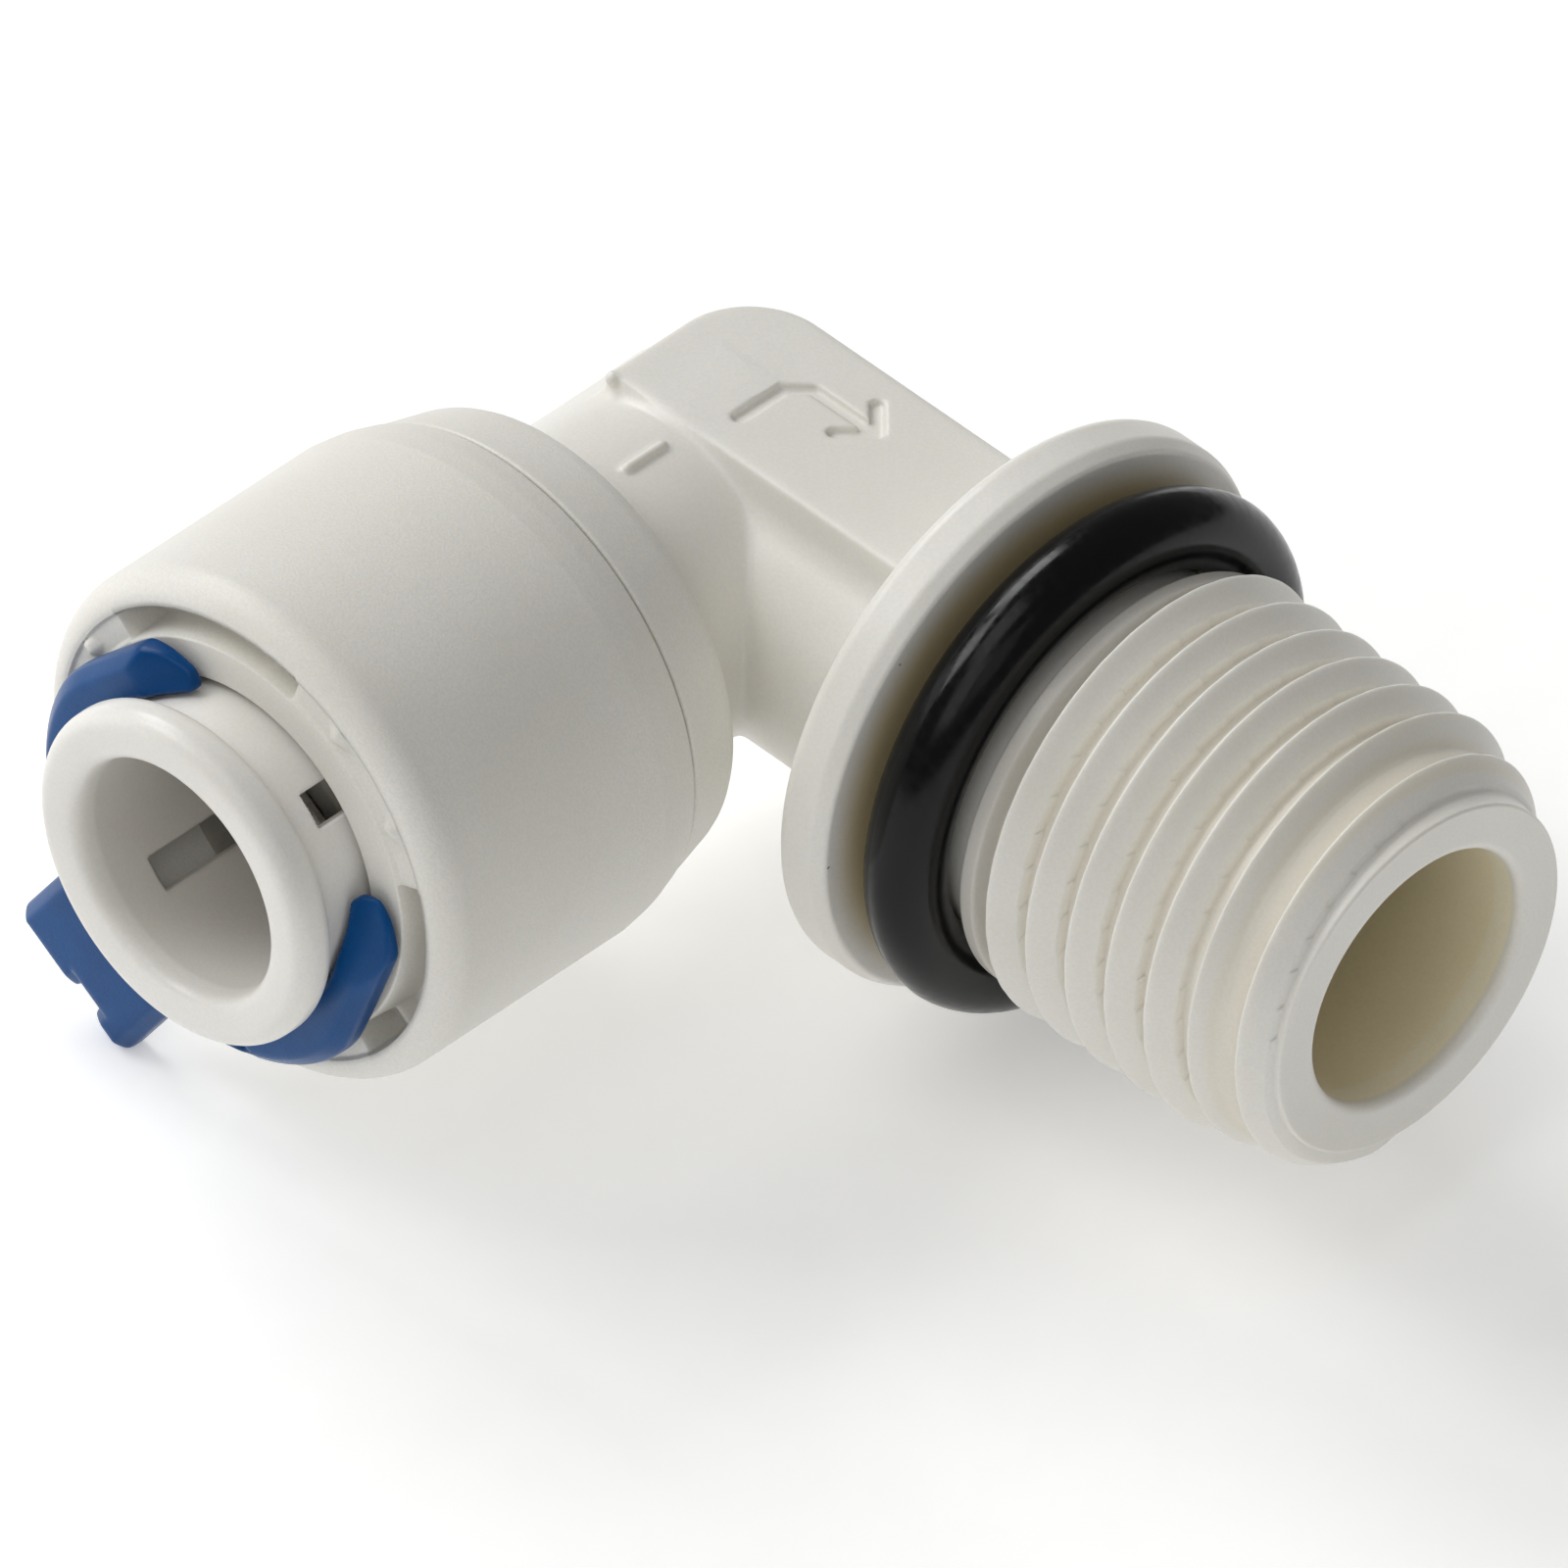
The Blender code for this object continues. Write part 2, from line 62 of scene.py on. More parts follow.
def smoothStep(low, high, value):
    part = np.clip((value - low) / (high - low), 0, 1)
    return part * part * (3 - 2 * part)


def smoothMax(a, b, size):
    return 0.5 * (a + b + np.sqrt((a - b) ** 2 + size**2))  # the larger, its corner rounded over size


def joined(a, b, size):
    # two fields become one solid with a fillet of about this size between them
    part = np.clip(0.5 + 0.5 * (b - a) / size, 0, 1)
    return b + (a - b) * part - size * part * (1 - part)


def cut(a, b, size):
    return -joined(-a, b, size)  # what is left of a once b is taken out


def alongStem(along, radius, angle):
    # a point beside the thread's axis: along +X, angle from +Y towards +Z
    along, radius, angle = np.broadcast_arrays(along, radius, angle)
    return np.stack([along, radius * np.cos(angle), radius * np.sin(angle)], axis=-1)


def alongSocket(along, radius, angle):
    # a point beside the tube's axis: along -Y, angle from +X towards +Z
    along, radius, angle = np.broadcast_arrays(along, radius, angle)
    return np.stack([radius * np.cos(angle), -along, radius * np.sin(angle)], axis=-1)


def gridFaces(rows, columns, wrapRows=True, wrapColumns=True, first=0):
    # the quads between neighbouring rows and columns of a grid of points
    i = np.arange(rows if wrapRows else rows - 1)[:, None]
    j = np.arange(columns if wrapColumns else columns - 1)[None, :]
    down = (i + 1) % rows
    across = (j + 1) % columns
    corners = [i * columns + j, down * columns + j, down * columns + across, i * columns + across]
    return np.stack(np.broadcast_arrays(*corners), axis=-1).reshape(-1, 4) + first


def facingOut(points, faces):
    # a closed skin's volume is negative while its faces look inwards
    volume = 0.0
    for part in faces:
        a = points[part[:, 0]]
        for k in range(2, part.shape[1]):
            volume += np.sum(a * np.cross(points[part[:, k - 1]], points[part[:, k]]))
    return faces if volume > 0 else [part[:, ::-1] for part in faces]


def roundedLoop(corners, steps=6):
    # a closed outline of (x, y, rounding) corners: each corner becomes an arc that is tangent to both its
    # sides, with one more point a little way along each side so that flats stay flat
    xy = np.array([corner[:2] for corner in corners], float)
    rounding = np.array([corner[2] for corner in corners], float)
    before = np.roll(xy, 1, axis=0) - xy
    after = np.roll(xy, -1, axis=0) - xy
    lengthBefore = np.linalg.norm(before, axis=1)
    lengthAfter = np.linalg.norm(after, axis=1)
    before /= lengthBefore[:, None]
    after /= lengthAfter[:, None]
    outline = []
    for k in range(len(xy)):
        turn = math.pi - math.acos(np.clip(before[k] @ after[k], -1, 1))
        reach = rounding[k] * math.tan(turn / 2)
        limit = 0.49 * min(lengthBefore[k], lengthAfter[k])
        reach = min(reach, limit)
        if rounding[k] <= 0 or turn < 0.01:
            outline.append(xy[k][None, :])
            continue
        guard = min(0.06, 0.2 * limit)
        part = np.linspace(0, 1, steps)[:, None]
        start = xy[k] + before[k] * reach
        end = xy[k] + after[k] * reach
        weight = 1 / max(math.cos(turn / 2), 0.2)
        share = (1 - part) ** 2, 2 * part * (1 - part) / weight, part**2
        arc = (share[0] * start + share[1] * xy[k] + share[2] * end) / (share[0] + share[1] + share[2])
        outline += [(start + before[k] * guard)[None, :], arc, (end + after[k] * guard)[None, :]]
    return np.concatenate(outline)


def turned(loop, columns, place):
    # a closed outline of (along, radius) points carried once round an axis
    angle = np.arange(columns) / columns * tau
    points = place(loop[:, :1], loop[:, 1:], angle[None, :]).reshape(-1, 3)
    return points, gridFaces(len(loop), columns)


def skinned(field, axes, settle=3):
    # the zero skin of a field on a grid of three axes: every cell that the skin crosses gets one point, the
    # mean of its edges' crossings, every crossed edge joins its four cells, and the points then slide onto
    # the skin along the field's slope
    x, y, z = np.meshgrid(*axes, indexing="ij")
    values = field(x, y, z)
    inside = values < 0
    shape = np.array(values.shape)
    cells = shape - 1
    total = np.zeros((3, int(cells.prod())))
    count = np.zeros(int(cells.prod()))
    quads = []
    for axis in range(3):
        low = [slice(None)] * 3
        high = [slice(None)] * 3
        low[axis] = slice(None, -1)
        high[axis] = slice(1, None)
        a = values[tuple(low)]
        b = values[tuple(high)]
        crossed = np.argwhere(inside[tuple(low)] != inside[tuple(high)])
        va = a[tuple(crossed.T)]
        vb = b[tuple(crossed.T)]
        place = np.stack([axes[k][crossed[:, k]] for k in range(3)])
        step = axes[axis][crossed[:, axis] + 1] - axes[axis][crossed[:, axis]]
        place[axis] += step * va / (va - vb)
        others = [(axis + 1) % 3, (axis + 2) % 3]
        ring = []
        for back in ((1, 1), (0, 1), (0, 0), (1, 0)):
            cell = crossed.copy()
            cell[:, others[0]] -= back[0]
            cell[:, others[1]] -= back[1]
            number = np.ravel_multi_index(tuple(cell.T), tuple(cells), mode="clip")
            ring.append(number)
            count += np.bincount(number, minlength=len(count))
            for k in range(3):
                total[k] += np.bincount(number, weights=place[k], minlength=len(count))
        ring = np.stack(ring, axis=-1)
        quads.append(np.where((va < 0)[:, None], ring, ring[:, ::-1]))
    used = np.flatnonzero(count)
    renumber = np.zeros(len(count), int)
    renumber[used] = np.arange(len(used))
    points = (total[:, used] / count[used]).T
    for _ in range(settle):
        value = field(*points.T)
        slope = np.stack([
            (field(*(points + shift).T) - field(*(points - shift).T)) / 0.02
            for shift in 0.01 * np.eye(3)
        ], axis=-1)
        size = np.maximum(np.sum(slope**2, axis=1), 0.25)
        points -= np.clip(value / size, -0.06, 0.06)[:, None] * slope
    return points, renumber[np.concatenate(quads)]


def addPiece(name, skins, material, body, nodes):
    # one object from one or more closed skins, its place in its mesh
    allPoints = []
    allFaces = []
    first = 0
    for points, faces in skins:
        points = np.asarray(points).reshape(-1, 3)
        faces = faces if isinstance(faces, list) else [faces]
        allFaces += [part + first for part in facingOut(points, faces)]
        allPoints.append(points)
        first += len(points)
    points = np.concatenate(allPoints) * mm + elbow
    corners = np.concatenate([part.ravel() for part in allFaces])
    sizes = np.concatenate([np.full(len(part), part.shape[1]) for part in allFaces])
    mesh = bpy.data.meshes.new(name)
    mesh.vertices.add(len(points))
    mesh.vertices.foreach_set("co", points.astype(np.float32).ravel())
    mesh.loops.add(len(corners))
    mesh.loops.foreach_set("vertex_index", corners.astype(np.int32))
    mesh.polygons.add(len(sizes))
    mesh.polygons.foreach_set("loop_start", (np.cumsum(sizes) - sizes).astype(np.int32))
    mesh.polygons.foreach_set("use_smooth", np.ones(len(sizes), bool))
    mesh.update(calc_edges=True)
    mesh.validate()
    mesh.materials.append(material)
    piece = bpy.data.objects.new(name, mesh)
    bpy.context.scene.collection.objects.link(piece)
    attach(piece, body)
    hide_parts(*nodes)
    print(f"{name}: {int(np.sum(sizes - 2))} triangles")
    return piece


# materials

noiseEdges = (0.3, 0.7)  # most of a noise texture's values lie between these
blotchEdges = (0.35, 0.65)


class Recipe:
    # a material's node tree, with short ways to add nodes and links
    def __init__(self, name):
        self.material = bpy.data.materials.new(name)
        self.material.use_nodes = True
        self.tree = self.material.node_tree
        self.shader = self.tree.nodes["Principled BSDF"]
        self.where = self.tree.nodes.new("ShaderNodeTexCoord").outputs["Object"]

    def node(self, kind, inputs=None, **settings):
        made = self.tree.nodes.new(kind)
        for key, value in settings.items():
            setattr(made, key, value)
        for key, value in (inputs or {}).items():
            self.feed(made.inputs[key], value)
        return made

    def feed(self, socket, value):
        if isinstance(value, bpy.types.NodeSocket):
            self.tree.links.new(value, socket)
        else:
            socket.default_value = value

    def noise(self, size, detail=2.0, where=None):
        # size is how far apart the blotches are, in millimetres
        inputs = {"Vector": where or self.where, "Scale": 1 / (size * mm), "Detail": detail}
        return self.node("ShaderNodeTexNoise", inputs).outputs["Fac"]

    def ramp(self, value, low, high, toLow=0.0, toHigh=1.0):
        inputs = {"Value": value, "From Min": low, "From Max": high, "To Min": toLow, "To Max": toHigh}
        return self.node("ShaderNodeMapRange", inputs, interpolation_type="SMOOTHSTEP").outputs["Result"]

    def mix(self, share, a, b, blend="MIX"):
        made = self.node("ShaderNodeMix", data_type="RGBA", blend_type=blend)
        self.feed(made.inputs[0], share)
        self.feed(made.inputs[6], a)
        self.feed(made.inputs[7], b)
        return made.outputs[2]

    def math(self, operation, a, b=0.0):
        made = self.node("ShaderNodeMath", operation=operation)
        self.feed(made.inputs[0], a)
        self.feed(made.inputs[1], b)
        return made.outputs[0]

    def bump(self, height, depth, before=None, strength=1.0):
        inputs = {"Height": height, "Distance": depth * mm, "Strength": strength}
        if before is not None:
            inputs["Normal"] = before
        return self.node("ShaderNodeBump", inputs).outputs["Normal"]

    def band(self, axis, start, end, low, high, share):
        # the mask of one band of painted light or shade: a share along a stretch of one arm's axis, reached as
        # the radius goes from low to high; 0 elsewhere
        turn = (0, 0, 0) if axis == "stem" else (0, 0, math.pi / 2)
        shift = {0: self.where, 1: tuple(-elbow)}
        centred = self.node("ShaderNodeVectorMath", shift, operation="ADD").outputs[0]
        spin = {"Vector": centred, "Rotation": turn}
        placed = self.node("ShaderNodeVectorRotate", spin, rotation_type="EULER_XYZ").outputs[0]
        parts = self.node("ShaderNodeSeparateXYZ", {0: placed}).outputs
        squares = [self.math("POWER", parts[k], 2.0) for k in (1, 2)]
        radius = self.math("SQRT", self.math("ADD", *squares))
        within, beyond = (share, 0) if high < low else (0, share)
        near = self.ramp(radius, min(low, high) * mm, max(low, high) * mm, within, beyond)
        soft = 0.1
        begin = self.ramp(parts[0], (start - soft) * mm, (start + soft) * mm)
        finish = self.ramp(parts[0], (end - soft) * mm, (end + soft) * mm, 1, 0)
        return self.math("MULTIPLY", near, self.math("MULTIPLY", begin, finish))

    def set(self, **inputs):
        for key, value in inputs.items():
            self.feed(self.shader.inputs[key], value)


def plasticMaterial(name, look):
    # moulded plastic: blotches of slightly different white, a fine skin texture, a few dust specks, light
    # that goes a little way in, and the look's bands of painted light and shade
    recipe = Recipe(name)
    cloud = recipe.noise(look["cloudSize"], 3.0)
    fine = recipe.noise(look["grainSize"], 2.0)
    color = recipe.mix(recipe.ramp(cloud, *blotchEdges), (*look["color"], 1), (*look["shade"], 1))
    color = recipe.mix(recipe.ramp(fine, *noiseEdges, 0, look["mottle"]), color, (*look["dark"], 1))
    spread = {"Vector": recipe.where, "Scale": 1 / (look["speckSpacing"] * mm)}
    dots = recipe.node("ShaderNodeTexVoronoi", spread)
    speck = recipe.math("LESS_THAN", dots.outputs["Distance"], look["speckSize"] / look["speckSpacing"])
    pick = recipe.node("ShaderNodeSeparateColor", {"Color": dots.outputs["Color"]}).outputs["Red"]
    speck = recipe.math("MULTIPLY", speck, recipe.math("GREATER_THAN", pick, 1 - look["speckShare"]))
    speck = recipe.math("MULTIPLY", speck, look["speckStrength"])
    color = recipe.mix(speck, color, (*look["speckColor"], 1))
    # painted light and shade: each band multiplies the colour by its tint along a stretch of one arm,
    # darkening where shade falls and brightening where light gathers
    for axis, start, end, low, high, share, tint in look["paintedLightAndShade"]:
        color = recipe.mix(recipe.band(axis, start, end, low, high, share), color, (*tint, 1), "MULTIPLY")
    rough = recipe.ramp(cloud, *noiseEdges, look["rough"] - 0.03, look["rough"] + 0.04)
    normal = recipe.bump(fine, look["grainDepth"])
    normal = recipe.bump(recipe.noise(look["waveSize"], 1.0), look["waveDepth"], normal)
    recipe.set(**{
        "Base Color": color,
        "Roughness": rough,
        "Normal": normal,
        "IOR": look["ior"],
        "Subsurface Weight": look["depthShare"],
        "Subsurface Radius": look["depthRadius"],
        "Subsurface Scale": look["depth"] * mm,
    })
    return recipe.material


ivoryLook = {
    "color": (0.83, 0.815, 0.765), "shade": (0.80, 0.78, 0.72), "dark": (0.70, 0.68, 0.62),
    "cloudSize": 6.0, "grainSize": 0.09, "grainDepth": 0.004, "mottle": 0.25,
    "waveSize": 1.4, "waveDepth": 0.012, "rough": 0.36, "ior": 1.48,
    "speckSpacing": 2.6, "speckSize": 0.045, "speckShare": 0.12,
    "speckStrength": 0.75, "speckColor": (0.09, 0.07, 0.05),
    "depthShare": 0.22, "depthRadius": (1.0, 0.85, 0.55), "depth": 0.35, "paintedLightAndShade": [],
}
barrelLook = dict(ivoryLook, grainSize=0.075, grainDepth=0.009, mottle=0.4, rough=0.44, waveDepth=0.006)
# tints are painted light and shade, each (axis, start, end, radius of no tint, radius of full tint, share,
# colour): they paint the O-ring's shadow onto the collar in front of it and shade into the collet's bore,
# paint warm shade into the thread's roots and onto the flange's face, deepest beside the O-ring, and paint
# light into the stem's bore
colletLook = dict(
    ivoryLook, color=(0.84, 0.825, 0.79), shade=(0.81, 0.79, 0.745), grainDepth=0.003, rough=0.32,
    # painted shade inside the collet's bore
    paintedLightAndShade=[("socket", 12.0, 19.2, 3.45, 3.3, 0.5, (0.78, 0.76, 0.74))],
)
stemPaintedLightAndShade = [
    # painted warm shade in the thread's roots
    ("stem", 14.2, 22.6, 5.7, 5.45, 0.3, (0.95, 0.86, 0.66)),
    # painted shadow of the O-ring on the collar in front of it
    ("stem", 13.2, 14.1, 5.0, 5.2, 0.6, (0.55, 0.53, 0.51)),
    # painted warm shade on the flange's face, deepest towards the O-ring
    ("stem", 10.3, 10.8, 7.5, 6.3, 0.9, (0.9, 0.74, 0.42)),
    # painted warm light in the stem's bore
    ("stem", 6.0, 23.2, 3.8, 3.6, 1.0, (1.18, 1.12, 0.94)),
]

ivoryPlastic = plasticMaterial("ivoryPlastic", ivoryLook)
stemPlastic = plasticMaterial("stemPlastic", dict(ivoryLook, paintedLightAndShade=stemPaintedLightAndShade))
barrelPlastic = plasticMaterial("barrelPlastic", barrelLook)
colletPlastic = plasticMaterial("colletPlastic", colletLook)

blueLook = {
    "color": (0.0, 0.072, 0.25), "shade": (0.0, 0.055, 0.2), "dark": (0.0, 0.036, 0.14),
    "cloudSize": 4.0, "grainSize": 0.06, "grainDepth": 0.004, "mottle": 0.3,
    "waveSize": 0.9, "waveDepth": 0.012, "rough": 0.3, "ior": 1.3,
    "speckSpacing": 1.5, "speckSize": 0.03, "speckShare": 0.0,
    "speckStrength": 0.75, "speckColor": (0.09, 0.07, 0.05),
    "depthShare": 0.05, "depthRadius": (0.4, 0.6, 1.0), "depth": 0.3, "paintedLightAndShade": [],
}
bluePlastic = plasticMaterial("bluePlastic", blueLook)


def rubberMaterial(name, look):
    # black rubber: an uneven sheen and a little dust
    recipe = Recipe(name)
    dust = recipe.noise(look["dustSize"], 6.0)
    skin = recipe.noise(look["skinSize"], 3.0)
    dusty = recipe.ramp(dust, *look["dustEdges"], 0, look["dustShare"])
    color = recipe.mix(dusty, (*look["color"], 1), (*look["dust"], 1))
    rough = recipe.ramp(skin, *noiseEdges, look["rough"] - 0.05, look["rough"] + 0.08)
    normal = recipe.bump(skin, look["skinDepth"])
    recipe.set(**{
        "Base Color": color, "Roughness": rough, "Normal": normal, "IOR": 1.5,
        "Specular IOR Level": look["shine"],
    })
    return recipe.material


rubberLook = {
    "color": (0.0025, 0.0025, 0.003), "dust": (0.006, 0.006, 0.0063),
    "dustSize": 0.5, "dustEdges": (0.55, 0.8), "dustShare": 0.5,
    "skinSize": 0.3, "skinDepth": 0.002, "rough": 0.19, "shine": 0.24,
}
blackRubber = rubberMaterial("blackRubber", rubberLook)


def steelMaterial(name, look):
    # stamped stainless strip: bright, with fine rolling lines
    recipe = Recipe(name)
    pull = {"Vector": recipe.where, "Scale": (1, 1, look["lineStretch"])}
    stretched = recipe.node("ShaderNodeMapping", pull).outputs["Vector"]
    lines = recipe.noise(look["lineSize"], 2.0, stretched)
    rough = recipe.ramp(lines, *noiseEdges, look["rough"] - 0.06, look["rough"] + 0.08)
    color = recipe.mix(recipe.ramp(lines, *noiseEdges), (*look["color"], 1), (*look["shade"], 1))
    normal = recipe.bump(lines, look["lineDepth"])
    recipe.set(**{"Base Color": color, "Roughness": rough, "Metallic": 1.0, "Normal": normal})
    return recipe.material


steelLook = {
    "color": (0.62, 0.62, 0.60), "shade": (0.52, 0.52, 0.50), "rough": 0.26,
    "lineSize": 0.05, "lineDepth": 0.002, "lineStretch": 0.08,
}
stainlessSteel = steelMaterial("stainlessSteel", steelLook)
print("materials made")


# threaded stem: flange, seal groove, collar, thread, lip and bore

stemLook = {
    "flangeBack": 8.95, "flangeFront": 10.5, "flangeRadius": 7.77, "flangeBevel": 0.2, "flangeBevelRun": 0.4,
    "flangeRound": 0.35, "bevelRound": 0.15, "innerRound": 0.1,
    "grooveRadius": 5.2, "collarStart": 13.4, "collarRadius": 5.87, "collarEnd": 13.95, "collarRound": 0.12,
    "collarPlain": 0.3, "collarFade": (0.1, 0.15),
    "crestRadius": 6.16, "crestTaper": 0.014, "lastCrestDrop": 0.44, "dropStart": 20.6, "dropEnd": 22.4,
    "rootRadius": 5.4, "pitch": 1.337, "backFlank": 18.0, "frontFlank": 49.0,
    "backRound": 0.02, "frontRound": 0.11, "rootRound": 0.1,
    "firstCrest": 13.75, "startAngle": -54.0, "turns": 6.98, "fadeTurns": 0.12, "fadeDepth": 0.7,
    "coneStart": 21.6, "coneEnd": 23.3, "endRadius": 4.93, "endRound": 0.2,
    "end": 23.5, "boreRadius": 3.6, "boreRound": 0.25, "boreFloor": 7.0, "rootWithin": 4.1,
    "columns": 280, "threadStep": 0.04,
}


def threadRadius(along, angle, look):
    # the radius of the core, or of the ridge where that stands higher: the ridge falls away from its crest on
    # both sides at the flank angles, and the crest moves one pitch along for each turn about the axis
    turnPart = (angle / tau - look["startAngle"] / 360) % 1.0
    crestNumber = np.round((along - look["firstCrest"]) / look["pitch"] - turnPart)
    turn = crestNumber + turnPart
    beside = along - look["firstCrest"] - look["pitch"] * turn
    fade = look["fadeTurns"]
    show = smoothStep(0, fade, turn) * (1 - smoothStep(look["turns"] - fade, look["turns"], turn))
    flank = np.where(beside < 0, look["backFlank"], look["frontFlank"])
    rounding = np.where(beside < 0, look["backRound"], look["frontRound"])
    fall = (np.sqrt(beside**2 + rounding**2) - rounding) / np.tan(np.radians(flank))
    drop = look["lastCrestDrop"] * smoothStep(look["dropStart"], look["dropEnd"], along)
    crest = look["crestRadius"] - look["crestTaper"] * (along - look["firstCrest"]) - drop
    cone = smoothStep(look["coneStart"], look["coneEnd"], along)
    before, after = look["collarFade"]
    collar = 1 - smoothStep(look["collarEnd"] - before, look["collarEnd"] + after, along)
    core = look["rootRadius"] - (look["rootRadius"] - look["endRadius"]) * cone
    core = core + (look["collarRadius"] - look["rootRadius"]) * collar
    ridge = crest - fall - (1 - show) * (look["crestRadius"] - look["rootRadius"] + look["fadeDepth"])
    return smoothMax(core, ridge, look["rootRound"])


def makeThreadedStem(look):
    # the plain steps are an outline, and the threaded length between them is rows of its own
    back = look["flangeBack"]
    front = look["flangeFront"]
    inner = look["boreFloor"] - 0.05
    threadStart = look["collarStart"] + look["collarPlain"]
    threadEnd = look["coneEnd"] - 0.02
    loop = roundedLoop([
        (inner, look["rootWithin"], 0),
        (back, look["rootWithin"], 0),
        (back, look["flangeRadius"], look["flangeRound"]),
        (front - look["flangeBevelRun"], look["flangeRadius"], look["flangeRound"]),
        (front, look["flangeRadius"] - look["flangeBevel"], look["bevelRound"]),
        (front, look["grooveRadius"], look["innerRound"]),
        (look["collarStart"], look["grooveRadius"], look["innerRound"]),
        (look["collarStart"], look["collarRadius"], look["collarRound"]),
        (threadStart, look["collarRadius"], 0),
        (threadEnd + 0.04, look["endRadius"], 0),
        (look["end"], look["endRadius"], look["endRound"]),
        (look["end"], look["boreRadius"], look["boreRound"]),
        (inner, look["boreRadius"], 0),
    ])
    columns = look["columns"]
    angle = np.arange(columns) / columns * tau
    split = np.flatnonzero(loop[:, 0] == threadStart)[0] + 1
    threadRows = np.arange(threadStart + 0.05, threadEnd, look["threadStep"])
    along = np.concatenate([loop[:split, 0], threadRows, loop[split:, 0]])
    radius = np.concatenate([loop[:split, 1], threadRows * 0, loop[split:, 1]])
    radius = np.repeat(radius[:, None], columns, axis=1)
    threaded = slice(split, split + len(threadRows))
    radius[threaded] = threadRadius(threadRows[:, None], angle[None, :], look)
    points = alongStem(along[:, None], radius, angle[None, :])
    return points, gridFaces(len(along), columns)


addPiece("threadedStem", [makeThreadedStem(stemLook)], stemPlastic, "fitting", ["elbow_body"])


# elbow block: two arms, the knuckle, the flat pads and the waterways

blockLook = {
    "armRadius": 4.5, "neckRadius": 4.6, "knuckleRadius": 4.5, "crease": 0.22, "knuckleBlend": 0.4,
    "padTop": 4.75, "padHalfWidth": 2.52, "lowPadHalfWidth": 2.0, "padLeft": -2.27, "padCorner": 2.3,
    "padRound": 0.12, "padEdge": 0.03, "padFloorEdge": 0.05, "padFillet": 0.3, "padLean": 0.12,
    "padFloor": 0.5, "padReach": (-9, 14), "armEnd": 9.35, "neckEnd": 6.6,
    # a foot is (middle along its arm, half its length, radius, fillet)
    "flangeFoot": (9.2, 0.2, 6.9, 0.55), "shoulderFoot": (6.45, 0.2, 5.3, 0.55 * 0.7),
    "dashAngle": 84, "dashAside": 4.6, "dashUp": 4.62, "dashMiddle": 4.0, "dashHalfLength": 0.62,
    "dashThickness": 0.13, "dashFillet": 0.08, "nibFillet": 0.06, "markEdge": 0.04, "markFillet": 0.06,
    "wayEdge": 0.1, "wayPast": 0.2,
    "markWidth": 0.19, "markDepth": 0.16, "nib": (-2.12, -2.5, 4.58), "nibRadius": 0.19,
    "stemWay": 2.3, "socketWay": 2.1, "boreRadius": 3.63, "boreFloor": 7.0,
    "tubeRadius": 3.32, "tubeStop": 4.6,
}


def strokeDistance(x, y, a, b):
    # the distance from a straight stroke between two points of a plane
    dx, dy = b[0] - a[0], b[1] - a[1]
    part = np.clip(((x - a[0]) * dx + (y - a[1]) * dy) / (dx * dx + dy * dy), 0, 1)
    return np.hypot(x - a[0] - part * dx, y - a[1] - part * dy)


def flowArrow(x, y):
    # a bent arrow from the tube socket to the stem
    strokes = [((1.15, -1.35), (1.15, 0.15)), ((1.15, 0.15), (1.7, 0.7)), ((1.7, 0.7), (3.9, 0.7)),
               ((3.9, 0.7), (3.15, 1.45)), ((3.9, 0.7), (3.15, -0.05))]
    nearest = strokeDistance(x, y, *strokes[0])
    for a, b in strokes[1:]:
        nearest = np.minimum(nearest, strokeDistance(x, y, a, b))
    return nearest


def roundedPlate(x, y, low, high, corner):
    # the signed distance in a plane from a rectangle with rounded corners
    middle = [(low[k] + high[k]) / 2 for k in (0, 1)]
    half = [(high[k] - low[k]) / 2 - corner for k in (0, 1)]
    dx = np.abs(x - middle[0]) - half[0]
    dy = np.abs(y - middle[1]) - half[1]
    return np.hypot(np.maximum(dx, 0), np.maximum(dy, 0)) + np.minimum(np.maximum(dx, dy), 0) - corner


def padField(x, y, z, halfWidth, look):
    # an upright block with its rear corner rounded, its sides leaning out a little towards the arm
    top = look["padTop"]
    lean = look["padLean"] * (top - z)
    near, far = look["padReach"]
    rear = roundedPlate(x, y, (look["padLeft"], near), (far, halfWidth), look["padCorner"])
    front = -halfWidth - y
    side = smoothMax(rear, front, look["padEdge"]) - lean
    return smoothMax(smoothMax(side, z - top, look["padRound"]), look["padFloor"] - z, look["padFloorEdge"])


